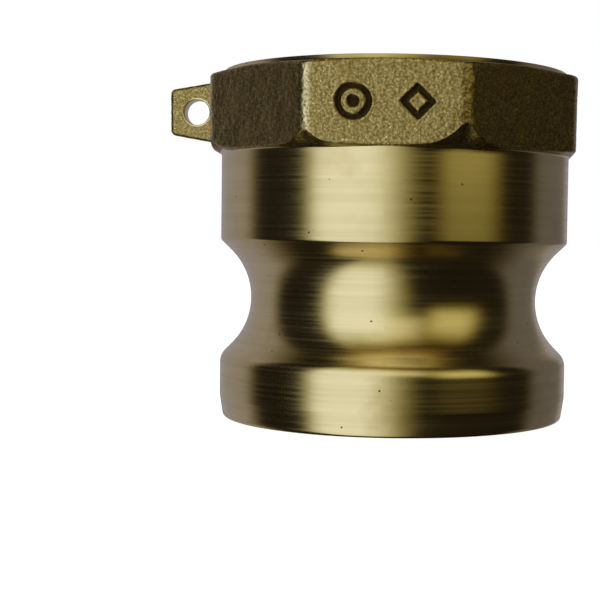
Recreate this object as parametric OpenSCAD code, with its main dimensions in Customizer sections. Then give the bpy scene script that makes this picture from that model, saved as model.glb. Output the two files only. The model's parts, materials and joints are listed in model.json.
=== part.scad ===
// Camlock adapter, type A, size 2 inch (DN 50): one brass casting with a turned male cam end
// below and an octagonal collar with a female pipe thread above, and the flat seal ring that
// lies at the bottom of the thread.
// Millimetres. Z is the axis of the pipe, z = 0 is the end face of the male cam end, and the
// front flat of the collar faces -Y. The security chain lug points to -X.

/* [Male cam end] */
// Outside diameter of the male end, the standard size for a 2 inch coupling
male_d = 63; // [62.5:0.1:63.5]
// Total height, from the male end face to the washer face
total_h = 62; // [60:0.5:66]
// Height of the lead-in taper at the male end
lead_in_h = 4; // [2:0.5:6]
// How much the lead-in taper takes off the radius
lead_in_step = 0.6; // [0.3:0.1:1.5]

/* [Cam groove] */
// Height of the middle of the cam groove
groove_z = 21.4; // [20.5:0.1:23]
// Diameter at the bottom of the groove
waist_d = 52; // [51:0.5:54]
// Radius of the round bottom of the groove
groove_arc_r = 12; // [11:0.5:12.5]

/* [Collar] */
// Size across the flats of the octagonal collar
across_flats = 64; // [63.8:0.1:70]
// Height of the collar's underside
collar_z = 47.1; // [46:0.1:50]
// Diameter at which the turned chamfer under the corners begins
underside_d = 66; // [64:0.5:67]
// How far that chamfer rises towards the corners, for each millimetre outwards
underside_rise = 1.8; // [0.6:0.1:2.4]
// How much the cast corners of the octagon are rounded off, measured along the radius
corner_trim = 0.34; // [0.1:0.02:0.8]
// Height of the raised washer face on top of the collar
washer_face_h = 0.75; // [0.5:0.05:1.5]
// How far the top of the octagon falls away towards its corners, for each millimetre outwards
top_fall = 0.22; // [0:0.01:0.4]

/* [Female pipe thread] */
// Minor diameter of the parallel pipe thread G 2
thread_minor_d = 56.656; // [56.2:0.001:57]
// Major diameter of the parallel pipe thread G 2
thread_major_d = 59.614; // [59.5:0.001:60]
// Height of the shoulder at the bottom of the threaded socket
shoulder_z = 40; // [39:0.5:41]
// Height of the plain relief between the shoulder and the thread
relief_h = 5.5; // [4:0.5:7]

/* [Flow bore] */
// Diameter of the bore through the male end
flow_d = 45.5; // [42:0.5:46]
// Size of the small chamfer at the mouth of the flow bore
flow_chamfer = 0.4; // [0.2:0.1:0.5]

/* [Seal ring] */
// Outside diameter of the flat seal ring
seal_outer_d = 59.4; // [58:0.1:59.5]
// Inside diameter of the flat seal ring
seal_inner_d = 50; // [48:0.5:52]
// Thickness of the flat seal ring
seal_h = 3; // [2:0.5:3.5]

/* [Chain lug] */
// How far the lug's tip is from the axis
lug_tip_x = 41.3; // [40:0.1:44]
// Half the height of the lug at its tip
lug_tip_half_h = 4.1; // [3.6:0.1:4.4]
// How fast the lug widens towards the collar, for each millimetre on each side
lug_flare = 0.17; // [0:0.01:0.22]
// Thickness of the lug
lug_t = 3.5; // [3:0.5:7]
// Radius of the lug's two outer corners
lug_corner_r = 1.3; // [0.5:0.1:2]
// Height of the middle of the lug and its hole
lug_z = 55; // [54.2:0.1:55.4]
// Distance of the chain hole from the axis of the pipe
eye_x = 36.4; // [36:0.1:37]
// Diameter of the chain hole
eye_d = 4.6; // [3:0.1:5]

/* [Punch marks] */
// Distance of each punch mark from the middle of the front flat
mark_x = 5.2; // [5:0.1:7]
// Height of the middle of the punch marks
mark_z = 54.3; // [53:0.1:55]
// Overall size of each punch mark
mark_size = 6; // [4:0.5:7]
// Width of the sunk lines
mark_line = 0.9; // [0.5:0.1:1]
// Depth of the sunk marks
mark_depth = 0.4; // [0.2:0.1:0.6]

/* [Hidden] */
$fn = 96;

brass = [0.66, 0.56, 0.33];
rubber = [0.13, 0.13, 0.13];

male_r = male_d / 2;
waist_r = waist_d / 2;
flat_r = across_flats / 2;
sides = 8;
vertex_r = flat_r / cos(180 / sides);
corner_r = vertex_r - corner_trim;
underside_r = underside_d / 2;
octagon_top_z = total_h - washer_face_h;
relief_d = thread_major_d + 0.2;
countersink_d = thread_major_d + 0.8;
// the washer face has a slightly tapered side, so that it comes out of the mould
washer_base_r = flat_r - 0.7;
washer_top_r = flat_r - 0.9;
overlap = 1;
through = 2;

// Everything the collar may fill: its turned underside, its corner radius and its sloping top
module collar_envelope() {
    rotate_extrude()
        polygon([
            [0, collar_z - overlap],
            [male_r, collar_z - overlap],
            [male_r, collar_z],
            [underside_r, collar_z],
            [corner_r, collar_z + (corner_r - underside_r) * underside_rise],
            [corner_r, octagon_top_z - (corner_r - flat_r) * top_fall],
            [flat_r, octagon_top_z],
            [0, octagon_top_z]
        ]);
}

// The octagonal collar, with its flats square to X and Y
module collar() {
    intersection() {
        rotate([0, 0, 180 / sides])
            translate([0, 0, collar_z - overlap])
                cylinder(r = vertex_r, h = total_h, $fn = sides);
        collar_envelope();
    }
}

// The raised ring on top of the collar, which a pipe's shoulder or a washer meets
module washer_face() {
    translate([0, 0, octagon_top_z - overlap])
        cylinder(r = washer_base_r, h = overlap);
    translate([0, 0, octagon_top_z])
        cylinder(r1 = washer_base_r, r2 = washer_top_r, h = washer_face_h);
}

// The turned male end before its groove is cut: a lead-in taper and a plain cylinder
module male_blank() {
    cylinder(r1 = male_r - lead_in_step, r2 = male_r, h = lead_in_h);
    translate([0, 0, lead_in_h])
        cylinder(r = male_r, h = collar_z - lead_in_h);
}

// The space of the cam groove: a round bottom that runs out along 45 degree cones
module groove_space() {
    arc_x = waist_r + groove_arc_r;
    tangent_x = arc_x - groove_arc_r * cos(45);
    tangent_h = groove_arc_r * sin(45);
    open_x = male_r + through;
    open_h = tangent_h + open_x - tangent_x;
    translate([0, 0, groove_z])
        rotate_extrude() {
            translate([arc_x, 0])
                circle(r = groove_arc_r);
            polygon([
                [tangent_x, -tangent_h],
                [open_x, -open_h],
                [open_x, open_h],
                [tangent_x, tangent_h]
            ]);
        }
}

// Half of the lug's outline, with x measured outwards from the axis and y from the lug's middle
module lug_half_outline() {
    flare_angle = atan(lug_flare);
    corner_x = lug_tip_x - lug_corner_r;
    corner_y = lug_tip_half_h + lug_flare * lug_corner_r - lug_corner_r / cos(flare_angle);
    root_x = flat_r - overlap;
    root_half_h = lug_tip_half_h + lug_flare * (lug_tip_x - root_x);
    polygon([
        [root_x, 0],
        [lug_tip_x, 0],
        [lug_tip_x, corner_y],
        [corner_x + lug_corner_r * sin(flare_angle), corner_y + lug_corner_r * cos(flare_angle)],
        [root_x, root_half_h]
    ]);
    translate([corner_x, corner_y])
        circle(r = lug_corner_r);
}

// The flat lug for the security chain, with its hole
module chain_lug() {
    translate([0, lug_t / 2, lug_z])
        rotate([90, 0, 0])
            linear_extrude(height = lug_t)
                difference() {
                    mirror([1, 0]) {
                        lug_half_outline();
                        mirror([0, 1])
                            lug_half_outline();
                    }
                    translate([-eye_x, 0])
                        circle(d = eye_d);
                }
}

// The threaded socket: countersink, thread at its minor diameter, and relief down to the shoulder
module socket_space() {
    countersink_h = (countersink_d - thread_minor_d) / 2;
    translate([0, 0, shoulder_z])
        cylinder(d = relief_d, h = relief_h);
    translate([0, 0, shoulder_z])
        cylinder(d = thread_minor_d, h = total_h);
    translate([0, 0, total_h - countersink_h])
        cylinder(d1 = thread_minor_d, d2 = countersink_d, h = countersink_h);
    translate([0, 0, total_h])
        cylinder(d = countersink_d, h = through);
}

// The bore through the male end, with a small chamfer at its mouth
module flow_space() {
    translate([0, 0, -through])
        cylinder(d = flow_d, h = shoulder_z + through + overlap);
    cylinder(d1 = flow_d + 2 * flow_chamfer, d2 = flow_d, h = flow_chamfer);
    translate([0, 0, -through])
        cylinder(d = flow_d + 2 * flow_chamfer, h = through);
}

// A ring with a dot in the middle, drawn around the origin
module ring_mark() {
    difference() {
        circle(d = mark_size);
        circle(d = mark_size - 2 * mark_line);
    }
    circle(d = 2 * mark_line);
}

// A square standing on its corner, drawn around the origin
module diamond_mark() {
    side = mark_size / sqrt(2);
    rotate(45)
        difference() {
            square(side, center = true);
            square(side - 2 * mark_line, center = true);
        }
}

// The two sunk marks in the front flat
module punch_marks() {
    translate([0, -flat_r + mark_depth, mark_z])
        rotate([90, 0, 0])
            linear_extrude(height = mark_depth + through) {
                translate([-mark_x, 0])
                    ring_mark();
                translate([mark_x, 0])
                    diamond_mark();
            }
}

module adapter_body() {
    color(brass)
        difference() {
            union() {
                male_blank();
                collar();
                washer_face();
                chain_lug();
            }
            groove_space();
            socket_space();
            flow_space();
            punch_marks();
        }
}

module thread_seal() {
    color(rubber)
        translate([0, 0, shoulder_z])
            difference() {
                cylinder(d = seal_outer_d, h = seal_h);
                translate([0, 0, -through])
                    cylinder(d = seal_inner_d, h = seal_h + 2 * through);
            }
}

adapter_body();
thread_seal();
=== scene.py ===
"""Looks of the brass camlock adapter: fine meshes, materials, light and camera around the CAD frame.

Shapes are worked out in millimetres in the frame's own axes and turned into metres at the end.
Angles round the axis start at the front (-Y) and grow towards +X.
"""

import json
import math
from collections import namedtuple

import bmesh
import bpy
import numpy as np
from mathutils import Matrix, Vector, noise


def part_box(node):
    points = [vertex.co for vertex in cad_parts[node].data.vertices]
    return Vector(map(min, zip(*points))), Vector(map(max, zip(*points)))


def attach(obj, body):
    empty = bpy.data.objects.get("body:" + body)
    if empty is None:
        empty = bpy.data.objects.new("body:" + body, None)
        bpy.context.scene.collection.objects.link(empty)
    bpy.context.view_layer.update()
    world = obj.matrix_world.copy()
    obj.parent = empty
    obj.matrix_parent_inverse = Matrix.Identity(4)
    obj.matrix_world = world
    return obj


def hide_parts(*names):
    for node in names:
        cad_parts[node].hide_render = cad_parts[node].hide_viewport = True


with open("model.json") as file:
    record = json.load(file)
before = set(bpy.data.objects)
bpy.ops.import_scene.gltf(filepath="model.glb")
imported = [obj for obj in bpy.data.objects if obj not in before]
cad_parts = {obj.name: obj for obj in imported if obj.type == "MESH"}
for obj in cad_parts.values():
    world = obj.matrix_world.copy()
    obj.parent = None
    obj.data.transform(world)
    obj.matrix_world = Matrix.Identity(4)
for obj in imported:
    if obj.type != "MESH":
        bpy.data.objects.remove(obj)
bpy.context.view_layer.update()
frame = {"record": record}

# ---------------------------------------------------------------- sizes, in millimetres and degrees

MM = 0.001
MOUNTS = {m["name"]: m for m in frame["record"]["mounts"]}


def mount_radius(name):
    """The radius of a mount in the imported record."""
    return MOUNTS[name]["dims"]["r_mm"]


def mount_place(name, axis):
    """One coordinate of a mount's place, in millimetres."""
    return MOUNTS[name]["pos_m"][axis] / MM


BODY_LOW, BODY_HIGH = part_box("adapter_body")
TOTAL_H = BODY_HIGH.z / MM
FLAT_R = BODY_HIGH.y / MM
LUG_TIP = -BODY_LOW.x / MM
MALE_R = mount_radius("cam_end")
FLOW_R = mount_radius("flow_bore")
THREAD_MINOR_R = mount_radius("pipe_thread")
WAIST_R = mount_radius("cam_groove")
GROOVE_Z = mount_place("cam_groove", 2)
EYE_R = mount_radius("chain_eye")
EYE_X = -mount_place("chain_eye", 0)
LUG_Z = mount_place("chain_eye", 2)
SHOULDER_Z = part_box("thread_seal")[0].z / MM
SEAL_TOP_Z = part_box("thread_seal")[1].z / MM
SEAL_OUTER_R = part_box("thread_seal")[1].x / MM
SEAL_INNER_R = 25.0
SEAL_CLEAR = 0.02
SEAL_COLUMNS = 192

# male end; the outline of the bore and that of the outside meet on a ring in the end face
LEAD_IN_H = 4.0
LEAD_IN_STEP = 0.6
GROOVE_ARC_R = 12.0
FLOW_CHAMFER = 0.4
END_FACE_R = MALE_R - 5.0

# collar: an octagon, a little narrower at the bottom, with a turned underside and a washer face
SIDES = 8
HALF_SIDE = math.pi / SIDES
FRONT_RIGHT_EDGE = 22.5
RIGHT_EDGE = 67.5
COLLAR_Z = 47.1
COLLAR_DRAFT = 0.1
UNDERSIDE_STEP = 0.5
EDGE_ROUND = 3.2
WASHER_BASE_R = FLAT_R - 0.7
WASHER_TOP_R = FLAT_R - 0.9
WASHER_INNER_R = 30.75
OCTAGON_TOP_Z = TOTAL_H - 0.75
TOP_FALL = 0.22
LOWER_ROUND = 0.35
TOP_ROUND = 0.7
STEP_ROUND = 0.1
BRIM_ROUND = 0.15

# where the male end's rows stop and the collar's rows start, on the cylinder just below the collar
MALE_ROWS_END_Z = COLLAR_Z - 0.9
COLLAR_ROWS_Z = COLLAR_Z - 0.8

# thread G 2: 11 threads to the inch, Whitworth form; a flank gain over 1 gives narrow flat crests and roots
PITCH = 25.4 / 11
THREAD_MAJOR_R = 29.807
RELIEF_R = THREAD_MAJOR_R + 0.1
RELIEF_TOP_Z = SHOULDER_Z + 5.5
COUNTERSINK_R = THREAD_MAJOR_R + 0.4
FLANK_GAIN = 1.15

# chain lug, on the flat that faces -X
LUG_FLAT = 6
LUG_HALF_T = 1.75
LUG_TIP_HALF_H = 4.1
LUG_FLARE = 0.17
LUG_EDGE = 0.75
LUG_EDGE_LEAST = 0.02
LUG_EDGE_REACH = 1.5
LUG_FILLET_Y = 1.0
LUG_FILLET_Z = 0.2
EYE_MARGIN = 0.55

# rings round the lug's hole: distance outside the hole, depth below the lug's side, share of cast grain
EYE_RINGS = ((0.32, 0.0, 0.4), (0.1, 0.03, 0.0), (0.02, 0.12, 0.0), (0.0, 0.3, 0.0))

# punch marks on the front flat
MARK_X = 5.2
MARK_Z = 54.3
MARK_R = 3.0
MARK_HALF_LINE = 0.5
MARK_DEPTH = 0.5
BURR_HEIGHT = 0.07
BURR_OFFSET = 0.22
BURR_WIDTH = 0.14

# mesh density: columns on the front flat and on each other flat, both multiples of 8, so that every
# fourth column still meets the middle of each flat
FRONT_COLUMNS = 160
FLAT_COLUMNS = 96
CROWDING = 0.25
SIDE_ROWS = 50
THREAD_ROW = 0.22

# the sand-cast skin's layers, from slow waves to grains: height, size and where the noise is read
CAST_LAYERS = (
    (0.07, 4.5, Vector((0.0, 0.0, 0.0))),
    (0.035, 1.1, Vector((7.0, 3.0, 1.0))),
    (0.04, 0.48, Vector((1.0, 9.0, 4.0))),
)

# share of cast grain on the body's rows; rows over MOSTLY_CAST belong to the collar's side and the lug
NO_GRAIN = 0.0
UNDERSIDE_GRAIN = 0.3
RIM_GRAIN = 0.4
TOP_GRAIN = 0.7
FULL_GRAIN = 1.0
MOSTLY_CAST = 0.9

# material kinds of the body's faces
CAST = 0
TURNED = 1
INSIDE = 2

# mesh attributes that say how deep in a punch mark a point is, and how worn, each 0 to 1; the depth also sets
# the painted shade in the marks
SUNK = "sunk"
WORN = "worn"

# ---------------------------------------------------------------- small helpers


def smoothstep(low, high, value):
    """0 below low, 1 above high, and a smooth rise between."""
    t = np.clip((value - low) / (high - low), 0.0, 1.0)
    return t * t * (3.0 - 2.0 * t)


def unit(vectors):
    """Vectors of length one."""
    return vectors / np.linalg.norm(vectors, axis=-1, keepdims=True)


def corner_arc(before, corner, after, radius, steps):
    """Points of the arc that rounds a corner; each point is an array whose last axis is (r, z)."""
    u = unit(before - corner)
    v = unit(after - corner)
    half = 0.5 * np.arccos(np.clip((u * v).sum(-1, keepdims=True), -1.0, 1.0))
    radius = np.broadcast_to(np.asarray(radius, float), half.shape[:-1])[..., None]
    centre = corner + unit(u + v) * radius / np.sin(half)
    start = corner + u * radius / np.tan(half) - centre
    end = corner + v * radius / np.tan(half) - centre
    turn = math.pi - 2.0 * half
    points = []
    for k in range(steps + 1):
        t = k / steps
        blend = start * np.sin((1.0 - t) * turn) + end * np.sin(t * turn)
        points.append(centre + blend / np.sin(turn))
    return points


def between(first, last, count):
    """The points that divide a straight stretch into count + 1 parts."""
    return [first + (last - first) * (k + 1) / (count + 1) for k in range(count)]


def rounded_profile(corners, support=0.08):
    """A profile through corners (r, z, rounding radius, arc steps), with a support point beside each arc."""
    places = [np.array(c[:2], float) for c in corners]
    points = [places[0]]
    for k in range(1, len(corners) - 1):
        radius, steps = corners[k][2:]
        arc = corner_arc(places[k - 1], places[k], places[k + 1], radius, steps)
        points.append(arc[0] + unit(places[k - 1] - places[k]) * support)
        points += arc
        points.append(arc[-1] + unit(places[k + 1] - places[k]) * support)
    points.append(places[-1])
    return points


def ring(angles, radius, height):
    """Points of one ring round the axis; radius and height are numbers or one value for each angle."""
    radius = np.broadcast_to(radius, angles.shape)
    height = np.broadcast_to(height, angles.shape)
    return np.stack([radius * np.sin(angles), -radius * np.cos(angles), height], axis=-1)


class Surface:
    """Collects points, each with a share of cast grain, and faces, each with a material kind."""

    def __init__(self):
        self.points = []
        self.grain = []
        self.count = 0
        self.faces = []
        self.kinds = []

    def add(self, points, grain=0.0):
        """Adds an array of points and returns their indices, in the same shape."""
        flat = points.reshape(-1, 3)
        self.points.append(flat)
        self.grain.append(np.full(len(flat), grain))
        ids = np.arange(self.count, self.count + len(flat)).reshape(points.shape[:-1])
        self.count += len(flat)
        return ids

    def face(self, kind, *corners):
        """Adds one face through the points of these indices."""
        self.faces.append([int(c) for c in corners])
        self.kinds.append(kind)

    def bridge(self, one, two, kind, hole=()):
        """Joins two closed rings. One may have a whole number of times as many points as the other."""
        if len(one) < len(two):
            one, two = two, one
        ratio = len(one) // len(two)
        for k in range(len(two)):
            if k in hole:
                continue
            a, b = two[k], two[(k + 1) % len(two)]
            fine = [one[(k * ratio + m) % len(one)] for m in range(ratio + 1)]
            if ratio == 1:
                self.face(kind, a, b, fine[1], fine[0])
                continue
            middle = ratio // 2
            for m in range(middle):
                self.face(kind, a, fine[m + 1], fine[m])
            self.face(kind, a, b, fine[middle])
            for m in range(middle, ratio):
                self.face(kind, b, fine[m + 1], fine[m])

    def grid(self, ids, kind, hole=None):
        """Joins a grid of points, leaving out a hole's cells: (first row, last row, first col, last col)."""
        for j in range(len(ids) - 1):
            for i in range(len(ids[0]) - 1):
                if hole and hole[0] <= j < hole[1] and hole[2] <= i < hole[3]:
                    continue
                self.face(kind, ids[j][i], ids[j][i + 1], ids[j + 1][i + 1], ids[j + 1][i])


# ---------------------------------------------------------------- the body's rows


def column_angles():
    """Angles of the columns, flat by flat, closer together beside the octagon's edges."""
    angles = []
    for flat in range(SIDES):
        count = FRONT_COLUMNS if flat == 0 else FLAT_COLUMNS
        t = np.arange(count) * 2.0 / count - 1.0
        angles.append(2.0 * HALF_SIDE * flat + HALF_SIDE * (t * (1.0 + CROWDING) - CROWDING * t**3))
    return np.concatenate(angles)


def angle_off_flat(angles):
    """Angle between each direction and the middle of its nearest flat."""
    return np.abs((angles + HALF_SIDE) % (2.0 * HALF_SIDE) - HALF_SIDE)


def octagon_radius(angles):
    """Distance of the collar's side from the axis, with rounded edges between its flats."""
    off_flat = angle_off_flat(angles)
    off_edge = HALF_SIDE - off_flat
    edge_centre = (FLAT_R - EDGE_ROUND) / math.cos(HALF_SIDE)
    flat_end = math.atan((FLAT_R - EDGE_ROUND) * math.tan(HALF_SIDE) / FLAT_R)
    inside = np.maximum(EDGE_ROUND**2 - (edge_centre * np.sin(off_edge)) ** 2, 0.0)
    rounded = edge_centre * np.cos(off_edge) + np.sqrt(inside)
    return np.where(off_flat <= flat_end, FLAT_R / np.cos(off_flat), rounded)


def near(angles, middle, reach):
    """1 at a middle and falling smoothly to 0 at a reach to both sides, both given in degrees."""
    off = np.abs((angles - math.radians(middle) + math.pi) % (2.0 * math.pi) - math.pi)
    return 1.0 - smoothstep(0.0, math.radians(reach), off)


def underside_cut(angles, foot):
    """How far the turned chamfer under the collar has cut up into its side.

    The cut is deepest at the octagon's edges, and it was turned off centre: deeper at the front's
    right edge, and hardly there at the collar's right edge.
    """
    front_right = near(angles, FRONT_RIGHT_EDGE, 26.0)
    deepest = 2.0 + 1.3 * front_right - 1.8 * near(angles, RIGHT_EDGE, 30.0)
    share = (foot - foot.min()) / (foot.max() - foot.min())
    return UNDERSIDE_STEP + deepest * share ** (3.8 - 1.5 * front_right)


def collar_rows(angles):
    """Rows from the top of the male cylinder, round the outside of the collar, to the washer face.

    Each row is (how many columns it skips, its (r, z) points, its grain, the kind of the band above it).
    """
    side = octagon_radius(angles)
    foot = side - COLLAR_DRAFT
    same = np.ones_like(side)
    start = np.stack([same * MALE_R, same * COLLAR_ROWS_Z], axis=-1)
    root = np.stack([same * MALE_R, same * COLLAR_Z], axis=-1)
    low = np.stack([foot, COLLAR_Z + underside_cut(angles, foot)], axis=-1)
    high = np.stack([side, OCTAGON_TOP_Z - (side - FLAT_R) * TOP_FALL], axis=-1)
    step = np.stack([same * WASHER_BASE_R, same * OCTAGON_TOP_Z], axis=-1)
    brim = np.stack([same * WASHER_TOP_R, same * TOTAL_H], axis=-1)
    end = np.stack([same * WASHER_INNER_R, same * TOTAL_H], axis=-1)

    root_arc = corner_arc(start, root, low, LOWER_ROUND, 3)
    low_arc = corner_arc(root, low, high, LOWER_ROUND, 3)
    # the top's rounding stays under half the width of the top face, so that it never reaches the step
    top_round = np.minimum(TOP_ROUND, 0.45 * (side - WASHER_BASE_R))
    high_arc = corner_arc(low, high, step, top_round, 5)
    step_arc = corner_arc(high, step, brim, STEP_ROUND, 2)
    brim_arc = corner_arc(step, brim, end, BRIM_ROUND, 3)

    rows = [(4, start, NO_GRAIN, TURNED)]
    rows += [(2, p, NO_GRAIN, TURNED) for p in root_arc]
    # the turned underside takes the darker cast material: its darker colour is painted shade under the collar
    rows += [(2, p, UNDERSIDE_GRAIN, CAST) for p in between(root_arc[-1], low_arc[0], 4)]
    rows += [(1, p, UNDERSIDE_GRAIN, CAST) for p in low_arc[:-1]]
    rows += [(1, low_arc[-1], RIM_GRAIN, CAST)]
    rows += [(1, p, FULL_GRAIN, CAST) for p in between(low_arc[-1], high_arc[0], SIDE_ROWS)]
    rows += [(1, p, FULL_GRAIN, CAST) for p in high_arc]
    rows += [(2, p, TOP_GRAIN, CAST) for p in between(high_arc[-1], step_arc[0], 3)]
    rows += [(2, step_arc[0], UNDERSIDE_GRAIN, CAST)]
    rows += [(2, p, NO_GRAIN, TURNED) for p in step_arc[1:]]
    rows += [(2, p, NO_GRAIN, TURNED) for p in brim_arc]
    rows += [(4, end, NO_GRAIN, TURNED)]
    return rows


def thread_radius(angles, height):
    """Radius of the threaded socket's wall, where countersink, right-handed thread and relief meet."""
    turn = height / PITCH - angles / (2.0 * math.pi)
    wave = 1.0 - 4.0 * np.abs(turn % 1.0 - 0.5)
    flank = np.sin(np.clip(wave * FLANK_GAIN, -1.0, 1.0) * math.pi / 2.0)
    middle = (THREAD_MAJOR_R + THREAD_MINOR_R) / 2.0
    depth = (THREAD_MAJOR_R - THREAD_MINOR_R) / 2.0
    countersink = COUNTERSINK_R - (TOTAL_H - height)
    relief = RELIEF_R - max(height - RELIEF_TOP_Z, 0.0)
    return np.maximum(middle + depth * flank, max(countersink, relief))


def inside_rows(angles):
    """Rows from the washer face down the socket, through the bore and up the outside of the male end."""
    mouth = rounded_profile(
        [(WASHER_INNER_R, TOTAL_H), (COUNTERSINK_R, TOTAL_H, 0.12, 3), (THREAD_MINOR_R, TOTAL_H - 2.0)]
    )[1:-1]
    rows = [(4, np.broadcast_to(p, angles.shape + (2,)), NO_GRAIN, INSIDE) for p in mouth]

    top = mouth[-1][1] - THREAD_ROW
    bottom = RELIEF_TOP_Z - 0.4
    for height in np.linspace(top, bottom, int((top - bottom) / THREAD_ROW)):
        radius = thread_radius(angles, height)
        rows.append((4, np.stack([radius, np.full_like(radius, height)], axis=-1), NO_GRAIN, INSIDE))

    groove_half = MALE_R - WAIST_R + GROOVE_ARC_R * (math.sqrt(2.0) - 1.0)
    bore = [
        (RELIEF_R, bottom),
        (RELIEF_R, SHOULDER_Z, 0.3, 3),
        (FLOW_R, SHOULDER_Z, 0.25, 3),
        (FLOW_R, FLOW_CHAMFER, 0.15, 2),
        (FLOW_R + FLOW_CHAMFER, 0.0, 0.15, 2),
        (END_FACE_R, 0.0),
    ]
    male_end = [
        (END_FACE_R, 0.0),
        (MALE_R - LEAD_IN_STEP, 0.0, 0.7, 6),
        (MALE_R, LEAD_IN_H, 0.8, 4),
        (MALE_R, GROOVE_Z - groove_half, 3.0, 8),
        (MALE_R - groove_half, GROOVE_Z, GROOVE_ARC_R, 36),
        (MALE_R, GROOVE_Z + groove_half, 0.7, 5),
        (MALE_R, MALE_ROWS_END_Z),
    ]
    for outline, kind in ((bore, INSIDE), (male_end, TURNED)):
        for place in rounded_profile(outline)[1:]:
            rows.append((4, np.broadcast_to(place, angles.shape + (2,)), NO_GRAIN, kind))
    return rows


# ---------------------------------------------------------------- the chain lug


def lug_half_height(out):
    """Half the lug's height at a distance from the axis, with a small fillet at the collar."""
    from_flat = np.clip((out - FLAT_R) / LUG_FILLET_Z, 0.0, 1.0)
    fillet = LUG_FILLET_Z * (1.0 - np.sqrt(1.0 - (1.0 - from_flat) ** 2))
    return LUG_TIP_HALF_H + LUG_FLARE * (LUG_TIP - out) + fillet


def lug_half_thickness(out):
    """Half the lug's thickness at a distance from the axis, with its fillet at the collar."""
    from_flat = np.clip((out - FLAT_R) / LUG_FILLET_Y, 0.0, 1.0)
    return LUG_HALF_T + LUG_FILLET_Y * (1.0 - np.sqrt(1.0 - (1.0 - from_flat) ** 2))


def lug_points(out, across, up):
    """Points of the lug: out from the axis, and across and up as shares of its half sizes, -1 to 1."""
    out, across, up = np.broadcast_arrays(out, across, up)
    half_t = lug_half_thickness(out)
    half_h = lug_half_height(out)
    sharp = np.stack([out, across * half_t, up * half_h], axis=-1)
    edge = LUG_EDGE * smoothstep(0.0, LUG_EDGE_REACH, out - FLAT_R) + LUG_EDGE_LEAST
    low = np.stack([np.full_like(out, -LUG_TIP), edge - half_t, edge - half_h], axis=-1)
    high = np.stack([LUG_TIP - edge, half_t - edge, half_h - edge], axis=-1)
    core = np.clip(sharp, low, high)
    away = sharp - core
    length = np.linalg.norm(away, axis=-1, keepdims=True)
    moved = core + away * np.where(length > 0.0, edge[..., None] / np.maximum(length, 1e-9), 0.0)
    return np.stack([-moved[..., 0], moved[..., 1], LUG_Z + moved[..., 2]], axis=-1)


def lug_stations():
    """Distances from the axis of the lug's sections, closer together at its root and tip."""
    root = FLAT_R + np.array([0.05, 0.12, 0.22, 0.38, 0.6, 0.85])
    middle = np.linspace(FLAT_R + 1.1, LUG_TIP - 0.95, 22)
    tip = LUG_TIP - np.array([0.72, 0.54, 0.36, 0.18, 0.0])
    return np.concatenate([root, middle, tip])


def add_lug(surface, patch):
    """Grows the lug out of a rectangular patch of the collar's side and drills its hole."""
    height, width = patch.shape
    across = -np.linspace(-1.0, 1.0, width)
    up = np.linspace(-1.0, 1.0, height)
    stations = lug_stations()
    last = len(stations) - 1

    # bottom, top and the two sides as grids of (station, position), sharing their corner points
    ids = {}

    def point(station, j, i):
        """The index of one point of the lug, made when it is first asked for."""
        if station < 0:
            return patch[j, i]
        key = (station, j, i)
        if key not in ids:
            place = lug_points(stations[station], across[i], up[j])
            ids[key] = int(surface.add(place[None], FULL_GRAIN)[0])
        return ids[key]

    levels = range(-1, last + 1)
    for j in (0, height - 1):
        surface.grid([[point(s, j, i) for i in range(width)] for s in levels], CAST)
    first_s = int(np.searchsorted(stations, EYE_X - EYE_R - EYE_MARGIN))
    last_s = int(np.searchsorted(stations, EYE_X + EYE_R + EYE_MARGIN))
    reach = (EYE_R + EYE_MARGIN) / lug_half_height(EYE_X)
    first_j = int(np.searchsorted(up, -reach)) - 1
    last_j = int(np.searchsorted(up, reach))
    hole = (first_s + 1, last_s + 1, first_j, last_j)
    for i in (0, width - 1):
        surface.grid([[point(s, j, i) for j in range(height)] for s in levels], CAST, hole)
    surface.grid([[point(last, j, i) for i in range(width)] for j in range(height)], CAST)

    # the hole: rings from the edge of each opening to its rim, and the wall between the two rims
    loop = [(s, first_j) for s in range(first_s, last_s)]
    loop += [(last_s, j) for j in range(first_j, last_j)]
    loop += [(s, last_j) for s in range(last_s, first_s, -1)]
    loop += [(first_s, j) for j in range(last_j, first_j, -1)]
    angles = [
        math.atan2(up[j] * lug_half_height(stations[s]), stations[s] - EYE_X) for s, j in loop
    ]
    rims = []
    for i in (0, width - 1):
        outer = np.array([point(s, j, i) for s, j in loop])
        sign = across[i]
        for outside, depth, grain in EYE_RINGS:
            out = EYE_X + (EYE_R + outside) * np.cos(angles)
            height_here = LUG_Z + (EYE_R + outside) * np.sin(angles)
            face_y = sign * (LUG_HALF_T - depth)
            points = np.stack([-out, np.full_like(out, face_y), height_here], axis=-1)
            inner_ring = surface.add(points, grain)
            surface.bridge(outer, inner_ring, CAST if grain else TURNED)
            outer = inner_ring
        rims.append(outer)
    surface.bridge(rims[0], rims[1], TURNED)


# ---------------------------------------------------------------- the body's mesh


def mark_distance(x, z):
    """Distance from the nearest line of the two punch marks, negative inside a line."""
    left = np.hypot(x + MARK_X, z - MARK_Z)
    ring_line = np.abs(left - (MARK_R - MARK_HALF_LINE)) - MARK_HALF_LINE
    dot = left - 2.0 * MARK_HALF_LINE
    right = (np.abs(x - MARK_X) + np.abs(z - MARK_Z)) / math.sqrt(2.0)
    diamond = np.abs(right - (MARK_R / math.sqrt(2.0) - MARK_HALF_LINE)) - MARK_HALF_LINE
    return np.minimum(np.minimum(ring_line, dot), diamond)


def cast_height(point):
    """Height of the sand-cast skin at a point: grain on top of slow waves."""
    return sum(height * noise.noise(point / size + offset) for height, size, offset in CAST_LAYERS)


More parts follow.
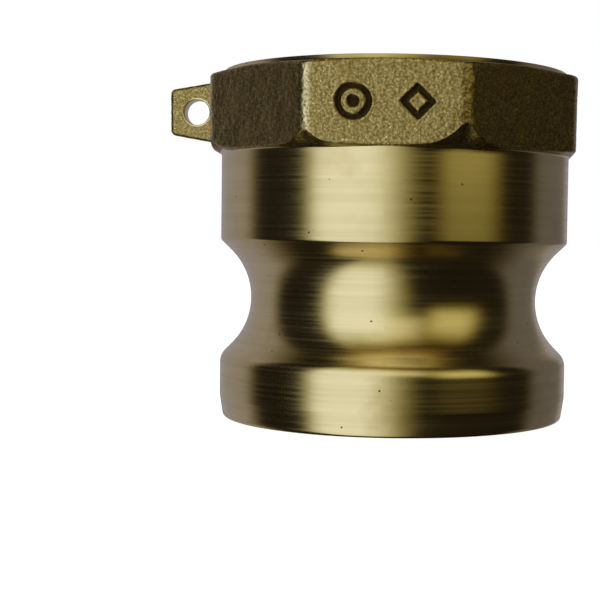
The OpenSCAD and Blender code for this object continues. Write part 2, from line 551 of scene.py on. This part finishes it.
def edge_wear(points):
    """How rubbed bright each point is: most along the octagon's edges, less along its lower rim.

    The front's right edge, which the turned chamfer cuts deeper, is hardly rubbed.
    """
    angles = np.arctan2(points[:, 0], -points[:, 1])
    off_edge = FLAT_R * (HALF_SIDE - angle_off_flat(angles))
    upright = (1.0 - 0.8 * near(angles, FRONT_RIGHT_EDGE, 15.0)) * np.exp(-((off_edge / 0.75) ** 2))
    rim = 0.6 * np.exp(-(((points[:, 2] - COLLAR_Z - UNDERSIDE_STEP) / 0.35) ** 2))
    return np.maximum(upright, rim)


def vectors_of(collection, name):
    """One vector of each item of a mesh collection, as an array."""
    values = np.empty(len(collection) * 3)
    collection.foreach_get(name, values)
    return values.reshape(-1, 3)


def finish_body_mesh(mesh, grain):
    """Gives the cast faces their skin, sinks the punch marks, stores both attributes and scales to metres."""
    points = vectors_of(mesh.vertices, "co")
    normals = vectors_of(mesh.vertex_normals, "vector")
    heights = np.zeros(len(points))
    for k in np.nonzero(grain > 0.0)[0]:
        heights[k] = grain[k] * cast_height(Vector(points[k]))
    moved = points + normals * heights[:, None]

    cast = grain > MOSTLY_CAST
    on_front = cast & (normals[:, 1] < -0.9) & (points[:, 1] < -FLAT_R + 1.0)
    off_line = mark_distance(points[:, 0], points[:, 2])
    depth = MARK_DEPTH * (1.0 - smoothstep(-0.32, 0.06, off_line))
    burr = BURR_HEIGHT * np.exp(-(((off_line - BURR_OFFSET) / BURR_WIDTH) ** 2))
    moved[:, 1] += np.where(on_front, depth - burr, 0.0)
    mesh.vertices.foreach_set("co", (moved * MM).ravel())

    # the share of each point inside a mark, which the cast material turns into painted shade
    sunk = np.where(on_front, 1.0 - smoothstep(-0.25, 0.08, off_line), 0.0)
    worn = np.where(cast, edge_wear(points), 0.0)
    for name, values in ((SUNK, sunk), (WORN, worn)):
        mesh.attributes.new(name, "FLOAT", "POINT").data.foreach_set("value", values)
    mesh.update()


def mesh_object(name, surface, materials):
    """A smooth closed mesh object from a surface, with its faces turned outwards, in millimetres."""
    mesh = bpy.data.meshes.new(name)
    mesh.from_pydata(np.concatenate(surface.points).tolist(), [], surface.faces)
    mesh.polygons.foreach_set("material_index", surface.kinds)
    work = bmesh.new()
    work.from_mesh(mesh)
    bmesh.ops.recalc_face_normals(work, faces=work.faces)
    work.to_mesh(mesh)
    work.free()
    mesh.polygons.foreach_set("use_smooth", [True] * len(mesh.polygons))
    for material in materials:
        mesh.materials.append(material)
    mesh.update()
    piece = bpy.data.objects.new(name, mesh)
    bpy.context.scene.collection.objects.link(piece)
    return piece


def without_unused(surface):
    """Drops the points that no face uses, and returns the grain of those that stay."""
    used = np.unique(np.array([c for f in surface.faces for c in f]))
    new_index = np.full(surface.count, -1)
    new_index[used] = np.arange(len(used))
    surface.points = [np.concatenate(surface.points)[used]]
    surface.faces = [[int(new_index[c]) for c in f] for f in surface.faces]
    return np.concatenate(surface.grain)[used]


def make_body(materials):
    """The brass casting as one closed mesh."""
    angles = column_angles()
    surface = Surface()
    rows = collar_rows(angles) + inside_rows(angles)
    ids = []
    for skip, places, grain, _ in rows:
        places = places[::skip]
        ids.append(surface.add(ring(angles[::skip], places[:, 0], places[:, 1]), grain))

    # the patch of the collar's left flat that the lug grows from
    lug_centre = FRONT_COLUMNS + (LUG_FLAT - 1) * FLAT_COLUMNS + FLAT_COLUMNS // 2
    half_width = LUG_HALF_T + LUG_FILLET_Y
    half_cols = int(np.searchsorted(FLAT_R * np.tan(angles[lug_centre:] - angles[lug_centre]), half_width))
    cols = (lug_centre - half_cols, lug_centre + half_cols)
    fine_rows = [k for k, row in enumerate(rows) if row[0] == 1 and row[2] > MOSTLY_CAST]
    heights = np.array([rows[k][1][lug_centre, 1] for k in fine_rows])
    root_half = float(lug_half_height(FLAT_R))
    low_row = fine_rows[int(np.searchsorted(heights, LUG_Z - root_half)) - 1]
    high_row = fine_rows[int(np.searchsorted(heights, LUG_Z + root_half))]

    for k, row in enumerate(rows):
        in_patch = low_row <= k < high_row
        hole = range(cols[0], cols[1]) if in_patch else ()
        surface.bridge(ids[k], ids[(k + 1) % len(rows)], row[3], hole)
    side_ids = np.array(ids[low_row : high_row + 1])
    add_lug(surface, side_ids[:, cols[0] : cols[1] + 1])

    grain = without_unused(surface)
    body = mesh_object("adapter_casting", surface, materials)
    finish_body_mesh(body.data, grain)
    return body


# ---------------------------------------------------------------- the seal ring


def make_seal(material):
    """The moulded flat seal ring, with rounded edges and two shallow ribs on its upper face."""
    angles = np.arange(SEAL_COLUMNS) * 2.0 * math.pi / SEAL_COLUMNS
    low = SHOULDER_Z + SEAL_CLEAR
    seam = (SEAL_INNER_R + 1.0, low)
    corners = [
        seam,
        (SEAL_OUTER_R, low, 0.35, 4),
        (SEAL_OUTER_R, SEAL_TOP_Z, 0.45, 5),
        (SEAL_OUTER_R - 1.2, SEAL_TOP_Z, 0.1, 2),
        (SEAL_OUTER_R - 1.5, SEAL_TOP_Z - 0.25, 0.12, 2),
        (SEAL_OUTER_R - 1.8, SEAL_TOP_Z, 0.1, 2),
        (SEAL_OUTER_R - 2.7, SEAL_TOP_Z, 0.1, 2),
        (SEAL_OUTER_R - 3.0, SEAL_TOP_Z - 0.25, 0.12, 2),
        (SEAL_OUTER_R - 3.3, SEAL_TOP_Z, 0.1, 2),
        (SEAL_INNER_R, SEAL_TOP_Z, 0.45, 5),
        (SEAL_INNER_R, low, 0.35, 4),
        seam,
    ]
    outline = rounded_profile(corners, support=0.02)[1:]
    surface = Surface()
    rings = [surface.add(ring(angles, place[0], place[1])) for place in outline]
    for k, lower in enumerate(rings):
        surface.bridge(lower, rings[(k + 1) % len(rings)], 0)
    seal = mesh_object("seal_ring", surface, [material])
    seal.data.transform(Matrix.Scale(MM, 4))
    return seal


# ---------------------------------------------------------------- materials

CAST_DARK = (0.225, 0.158, 0.045, 1)
CAST_LIGHT = (0.475, 0.36, 0.13, 1)
CAST_STAIN = (0.32, 0.19, 0.06, 1)
POLISH_AND_PAINTED_GLINT = (0.74, 0.62, 0.33, 1)
MARK_PAINTED_SHADE = (0.035, 0.018, 0.008, 1)
TURNED_TONE = (0.71, 0.575, 0.285, 1)
SOCKET_TONE = (0.64, 0.50, 0.25, 1)
TURNED_STAIN = (0.48, 0.33, 0.12, 1)
PIT_DIRT = (0.10, 0.07, 0.03, 1)
RUBBER_BLACK = (0.018, 0.018, 0.019, 1)
RUBBER_BLOOM = (0.045, 0.044, 0.042, 1)

# noise on turned metal is read at (radius, height, angle), and its angle counts for so little that the
# noise runs in rings
METRES_PER_RADIAN = 0.0002
PITS_PER_METRE = 260.0


class Nodes:
    """Short ways to add shader nodes to one node tree."""

    def __init__(self, tree):
        self.tree = tree

    def add(self, kind, inputs=(), **settings):
        """Adds a node, sets its settings, and sets or links its inputs, given as {name or index: value}."""
        node = self.tree.nodes.new(kind)
        for key, value in settings.items():
            setattr(node, key, value)
        for key, value in dict(inputs).items():
            if isinstance(value, bpy.types.NodeSocket):
                self.tree.links.new(value, node.inputs[key])
            else:
                node.inputs[key].default_value = value
        return node

    def math(self, operation, first, second=0.0, third=0.0):
        """The result of one sum on up to three values."""
        return self.add("ShaderNodeMath", {0: first, 1: second, 2: third}, operation=operation).outputs[0]

    def times(self, first, second):
        """The product of two values."""
        return self.math("MULTIPLY", first, second)

    def smooth(self, value, low, high, to_low=0.0, to_high=1.0):
        """A smooth ramp of a value between two levels."""
        inputs = {"Value": value, "From Min": low, "From Max": high, "To Min": to_low, "To Max": to_high}
        return self.add("ShaderNodeMapRange", inputs, interpolation_type="SMOOTHSTEP").outputs[0]

    def noise(self, vector, size, detail=2.0, rough=0.5):
        """Noise whose features are about size millimetres across, when the vector is in metres."""
        inputs = {"Vector": vector, "Scale": 1.0 / (size * MM), "Detail": detail, "Roughness": rough}
        return self.add("ShaderNodeTexNoise", inputs).outputs["Fac"]

    def mix(self, share, first, second):
        """A colour between two, by share."""
        return self.add("ShaderNodeMix", {0: share, 6: first, 7: second}, data_type="RGBA").outputs[2]

    def mix_channels(self, shares, first, second):
        """A vector between two, with a share of its own for each channel."""
        settings = {"data_type": "VECTOR", "factor_mode": "NON_UNIFORM"}
        return self.add("ShaderNodeMix", {1: shares, 4: first, 5: second}, **settings).outputs[1]

    def attribute(self, name):
        """The value of a mesh attribute."""
        return self.add("ShaderNodeAttribute", attribute_name=name).outputs["Fac"]

    def bump(self, height, depth, normal=None):
        """A bump of a height map of 0 to 1, depth millimetres deep."""
        inputs = {"Height": height, "Distance": depth * MM, "Strength": 1.0}
        if normal is not None:
            inputs["Normal"] = normal
        return self.add("ShaderNodeBump", inputs).outputs[0]


def new_material(name):
    """An empty material with a Principled shader; returns it, its node helper and the shader."""
    material = bpy.data.materials.new(name)
    material.use_nodes = True
    material.node_tree.nodes.clear()
    nodes = Nodes(material.node_tree)
    shader = nodes.add("ShaderNodeBsdfPrincipled")
    output = nodes.add("ShaderNodeOutputMaterial")
    material.node_tree.links.new(shader.outputs[0], output.inputs[0])
    return material, nodes, shader


def link(nodes, shader, **sockets):
    """Links values to the shader's sockets; underscores stand for spaces."""
    for name, value in sockets.items():
        nodes.tree.links.new(value, shader.inputs[name.replace("_", " ")])


def object_place(nodes):
    """The point's place in the object, in metres."""
    return nodes.add("ShaderNodeTexCoord").outputs["Object"]


def cast_brass():
    """Sand-cast and shot-blasted brass: dull tan with dark grains, painted glints on sparse lighter grains,
    brighter worn edges, and punch marks painted almost black as painted shade.
    """
    material, nodes, shader = new_material("cast_brass")
    place = object_place(nodes)
    grains = nodes.noise(place, 0.42, 3.0, 0.6)
    fine = nodes.noise(place, 0.2, 2.0)
    blotch = nodes.noise(place, 7.0, 3.0)
    base = nodes.mix(nodes.smooth(grains, 0.40, 0.66), CAST_DARK, CAST_LIGHT)
    skin = nodes.mix(nodes.smooth(blotch, 0.5, 0.72, 0.0, 0.4), base, CAST_STAIN)
    # painted glints: sparse grains get the lighter polished colour and a little less roughness, standing in
    # for sparkle
    painted_glint = nodes.smooth(nodes.noise(place, 0.33, 1.0), 0.66, 0.74)
    rubbed = nodes.times(nodes.attribute(WORN), nodes.smooth(grains, 0.3, 0.55))
    bright = nodes.math("MAXIMUM", painted_glint, rubbed)
    # the rubbed edges are real wear; the glint specks in the same mix are painted highlights
    skin_with_wear_and_painted_glints = nodes.mix(bright, skin, POLISH_AND_PAINTED_GLINT)
    sunk = nodes.attribute(SUNK)
    # the punch marks are painted almost black: painted shade in their recesses
    colour = nodes.mix(nodes.times(sunk, 0.93), skin_with_wear_and_painted_glints, MARK_PAINTED_SHADE)
    blasted = nodes.smooth(fine, 0.3, 0.7, 0.28, 0.42)
    clean = nodes.math("SUBTRACT", blasted, nodes.times(bright, 0.1))
    rough = nodes.math("MAXIMUM", clean, nodes.times(sunk, 0.7))
    link(nodes, shader, Base_Color=colour, Roughness=rough)
    link(nodes, shader, Normal=nodes.bump(fine, 0.015, nodes.bump(grains, 0.055)))
    shader.inputs["Metallic"].default_value = 1.0
    return material


def turned_brass(name, roughness, tone, line_depth):
    """Lathe-turned brass: fine rings round the axis, faint stains and a few small pits."""
    material, nodes, shader = new_material(name)
    place = object_place(nodes)
    x, y, z = nodes.add("ShaderNodeSeparateXYZ", {0: place}).outputs
    radius = nodes.math("SQRT", nodes.math("ADD", nodes.times(x, x), nodes.times(y, y)))
    angle = nodes.times(nodes.math("ARCTAN2", x, y), METRES_PER_RADIAN)
    along = nodes.add("ShaderNodeCombineXYZ", {0: radius, 1: z, 2: angle}).outputs[0]
    lines = nodes.noise(along, 0.11, 3.0, 0.7)
    bands = nodes.noise(along, 1.6, 2.0)
    patina = nodes.noise(place, 9.0, 3.0)
    darker = tuple(0.93 * c for c in tone[:3]) + (1,)
    base = nodes.mix(nodes.smooth(bands, 0.35, 0.65), tone, darker)
    stained = nodes.mix(nodes.smooth(patina, 0.5, 0.75, 0.0, 0.35), base, TURNED_STAIN)
    spots = nodes.add("ShaderNodeTexVoronoi", {"Vector": place, "Scale": PITS_PER_METRE}).outputs["Distance"]
    pits = nodes.smooth(spots, 0.035, 0.06, 1.0, 0.0)
    colour = nodes.mix(pits, stained, PIT_DIRT)
    rough = nodes.smooth(nodes.noise(along, 0.5, 3.0), 0.3, 0.7, roughness - 0.04, roughness + 0.05)
    link(nodes, shader, Base_Color=colour, Roughness=rough)
    link(nodes, shader, Normal=nodes.bump(lines, line_depth))
    shader.inputs["Metallic"].default_value = 1.0
    return material


def seal_rubber():
    """Matte black moulded rubber with a faint bloom."""
    material, nodes, shader = new_material("black_rubber")
    place = object_place(nodes)
    bloom = nodes.smooth(nodes.noise(place, 5.0, 3.0), 0.4, 0.75)
    colour = nodes.mix(bloom, RUBBER_BLACK, RUBBER_BLOOM)
    fine = nodes.noise(place, 0.35, 3.0)
    link(nodes, shader, Base_Color=colour, Roughness=nodes.smooth(fine, 0.3, 0.7, 0.5, 0.68))
    link(nodes, shader, Normal=nodes.bump(fine, 0.02))
    return material


# ---------------------------------------------------------------- camera, light and floor

# the camera's place in degrees and metres, and its turns in degrees
CAMERA_TURN = 3.0
CAMERA_AWAY = 0.250
CAMERA_UP = 0.03245
YAW = 0.42
PITCH_DOWN = 2.60
ROLL = 0.85

# the focal length, and how far the object is right of the middle, on a frame this many units wide
FRAME_SIZE = 600.0
CAMERA_FOCAL = 1360.0
OBJECT_ASIDE = 83.0
SENSOR_WIDTH = 36.0


def make_camera():
    """The camera, about level with the groove's upper edge and a little to the right of the front flat."""
    data = bpy.data.cameras.new("camera")
    data.sensor_width = SENSOR_WIDTH
    data.lens = CAMERA_FOCAL / FRAME_SIZE * SENSOR_WIDTH
    data.shift_x = -OBJECT_ASIDE / FRAME_SIZE
    camera = bpy.data.objects.new("camera", data)
    bpy.context.scene.collection.objects.link(camera)
    turn = math.radians(CAMERA_TURN)
    place = Vector((math.sin(turn) * CAMERA_AWAY, -math.cos(turn) * CAMERA_AWAY, CAMERA_UP))
    heading = Matrix.Rotation(turn + math.radians(YAW), 4, "Z")
    tilt = Matrix.Rotation(math.radians(90.0 - PITCH_DOWN), 4, "X")
    roll = Matrix.Rotation(math.radians(ROLL), 4, "Z")
    camera.matrix_world = Matrix.Translation(place) @ heading @ tilt @ roll
    bpy.context.scene.camera = camera


# What the metal sees around it. Angles are in degrees: azimuth 0 is behind the camera and grows to the
# right. A card reaches half its brightness at its four edges, and each edge is a soft ramp that goes as
# far to both sides as its soft value says. A later card lies over the ones before it.
Card = namedtuple("Card", "left right bottom top soft_left soft_right soft_bottom soft_top colour")
CARDS = (
    # dim, to the right and behind the object
    Card(103.0, 148.0, -43.0, 46.0, 8.0, 8.0, 12.0, 14.0, (0.153, 0.146, 0.177)),
    # brighter, behind the object and round to its left
    Card(147.0, 255.0, -43.0, 46.0, 8.0, 9.0, 12.0, 14.0, (0.35, 0.34, 0.41)),
    # warm, high above on the camera's side, up to the zenith
    Card(-62.0, 72.0, 66.0, 150.0, 12.0, 12.0, 12.0, 9.0, (0.28, 0.18, 0.075)),
    # the ceiling, all round the zenith
    Card(-200.0, 200.0, 77.0, 150.0, 9.0, 9.0, 9.0, 9.0, (0.85, 0.84, 0.66)),
    # warm, to the right of the camera
    Card(30.0, 68.0, 3.0, 42.0, 8.0, 10.0, 11.0, 19.0, (0.69, 0.67, 0.40)),
    # above the camera
    Card(-24.0, 25.0, 15.0, 53.0, 10.0, 14.0, 13.0, 16.0, (0.71, 0.72, 0.60)),
    # the main light, large and cool, to the left of the camera
    Card(-55.0, 0.5, -70.0, 52.0, 9.0, 20.0, 24.0, 25.0, (1.08, 1.20, 1.42)),
)
DARK = (0.014, 0.011, 0.009)
BACKDROP = (1, 1, 1, 1)

# a card's borders are warmer than its middle, because green and above all blue fall away sooner
GREEN_FALL = 1.1
BLUE_FALL = 1.7

FLOOR_HALF = 4.0
FLOOR_DROP = 0.0001


def card_mask(nodes, azimuth, elevation, card):
    """How much of a card is seen in a direction, 0 to 1."""
    middle = (card.left + card.right) / 2.0
    half = (card.right - card.left) / 2.0
    off = nodes.math("WRAP", nodes.math("SUBTRACT", azimuth, middle), 180.0, -180.0)
    left = nodes.smooth(off, -half - card.soft_left, -half + card.soft_left)
    right = nodes.smooth(off, half - card.soft_right, half + card.soft_right, 1.0, 0.0)
    bottom = nodes.smooth(elevation, card.bottom - card.soft_bottom, card.bottom + card.soft_bottom)
    top = nodes.smooth(elevation, card.top - card.soft_top, card.top + card.soft_top, 1.0, 0.0)
    return nodes.times(nodes.times(left, right), nodes.times(bottom, top))


def make_world():
    """A white backdrop for the camera, and soft light cards round the object for everything else."""
    world = bpy.data.worlds.new("studio")
    world.use_nodes = True
    world.node_tree.nodes.clear()
    nodes = Nodes(world.node_tree)
    direction = nodes.add("ShaderNodeTexCoord").outputs["Generated"]
    x, y, z = nodes.add("ShaderNodeSeparateXYZ", {0: direction}).outputs
    to_degrees = 180.0 / math.pi
    around = nodes.math("ARCTAN2", x, nodes.times(y, -1.0))
    azimuth = nodes.math("SUBTRACT", nodes.times(around, to_degrees), CAMERA_TURN)
    elevation = nodes.times(nodes.math("ARCSINE", z), to_degrees)
    light = DARK
    for card in CARDS:
        mask = card_mask(nodes, azimuth, elevation, card)
        green = nodes.math("POWER", mask, GREEN_FALL)
        blue = nodes.math("POWER", mask, BLUE_FALL)
        shares = nodes.add("ShaderNodeCombineXYZ", {0: mask, 1: green, 2: blue}).outputs[0]
        light = nodes.mix_channels(shares, light, card.colour)
    seen = nodes.add("ShaderNodeLightPath").outputs["Is Camera Ray"]
    final = nodes.mix(seen, light, BACKDROP)
    background = nodes.add("ShaderNodeBackground", {"Color": final, "Strength": 1.0})
    output = nodes.add("ShaderNodeOutputWorld")
    world.node_tree.links.new(background.outputs[0], output.inputs[0])
    bpy.context.scene.world = world


def make_floor():
    """A plain pale floor, almost white, that the metal does not mirror."""
    material, _, shader = new_material("pale_floor")
    shader.inputs["Base Color"].default_value = (0.85, 0.85, 0.85, 1)
    shader.inputs["Roughness"].default_value = 0.9
    shader.inputs["Emission Color"].default_value = (1, 1, 1, 1)
    shader.inputs["Emission Strength"].default_value = 0.92
    mesh = bpy.data.meshes.new("floor")
    corners = [(x * FLOOR_HALF, y * FLOOR_HALF, 0.0) for x, y in ((-1, -1), (1, -1), (1, 1), (-1, 1))]
    mesh.from_pydata(corners, [], [(0, 1, 2, 3)])
    mesh.materials.append(material)
    floor = bpy.data.objects.new("floor", mesh)
    floor.location.z = -FLOOR_DROP
    floor.visible_glossy = False
    bpy.context.scene.collection.objects.link(floor)


# ---------------------------------------------------------------- putting it together

scene = bpy.context.scene
scene.view_settings.view_transform = "Standard"

make_camera()
make_world()
make_floor()

body_materials = [
    cast_brass(),
    turned_brass("turned_brass", 0.20, TURNED_TONE, 0.0013),
    turned_brass("socket_brass", 0.30, SOCKET_TONE, 0.008),
]
body = make_body(body_materials)
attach(body, "root")
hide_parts("adapter_body")

seal = make_seal(seal_rubber())
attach(seal, "root")
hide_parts("thread_seal")

bpy.context.view_layer.update()
